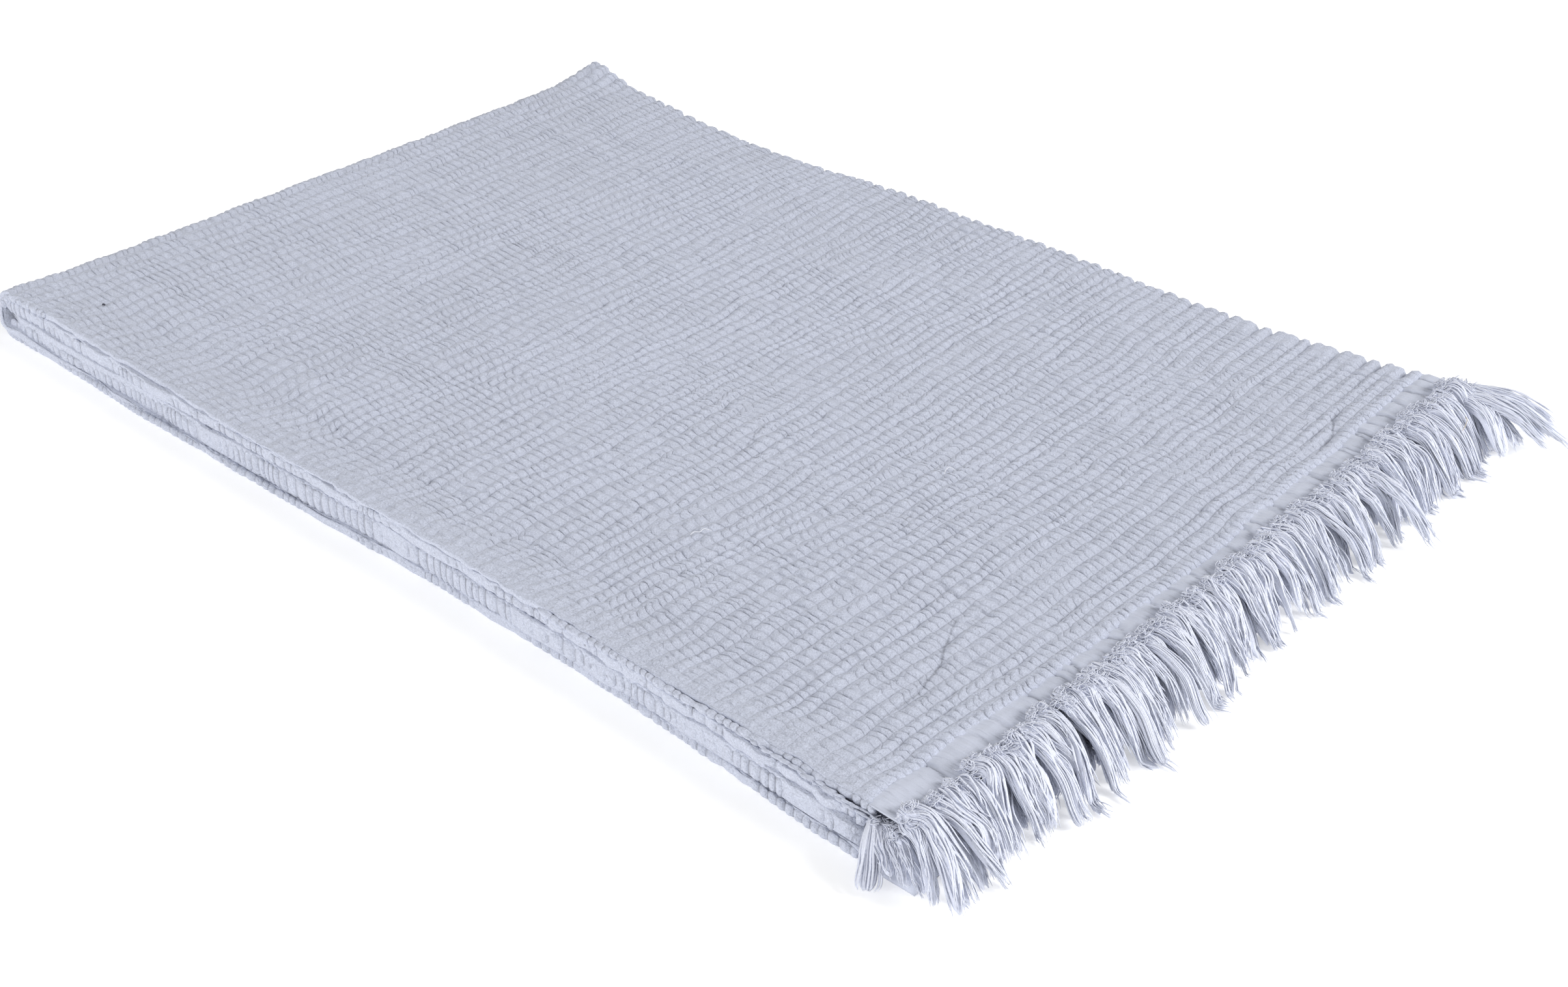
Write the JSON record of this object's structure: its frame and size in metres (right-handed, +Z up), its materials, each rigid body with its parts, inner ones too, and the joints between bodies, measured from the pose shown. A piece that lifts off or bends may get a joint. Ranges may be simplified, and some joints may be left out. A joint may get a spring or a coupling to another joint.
{
  "type": "folded muslin blanket with fringed ends",
  "caption": "Crinkled muslin throw blanket, folded lengthwise and then crosswise into a flat layered rectangle, with plain heading strips and yarn fringe at one short side.",
  "frame": {"origin": "on the surface that the blanket lies on, under the middle of its box", "axes": "+X from the crosswise fold to the fringe, +Y from the open selvedges to the lengthwise fold, +Z up"},
  "size_m": [1.0226, 0.7174, 0.0439],
  "materials": {
    "crinkled_muslin": "soft matt crinkled cotton gauze, pale lavender grey",
    "heading_weave": "plain smooth close weave, pale lavender grey",
    "fringe_yarn": "loose fluffy cotton yarn with a faint sheen, pale lavender grey",
    "lint": "dark fleck of lint",
    "stray_thread": "stray tan thread"
  },
  "bodies": {
    "root": {"blanket_cloth": "crinkled_muslin", "fringe_upper_end": "fringe_yarn", "fringe_lower_end": "fringe_yarn"}
  },
  "joints": []
}
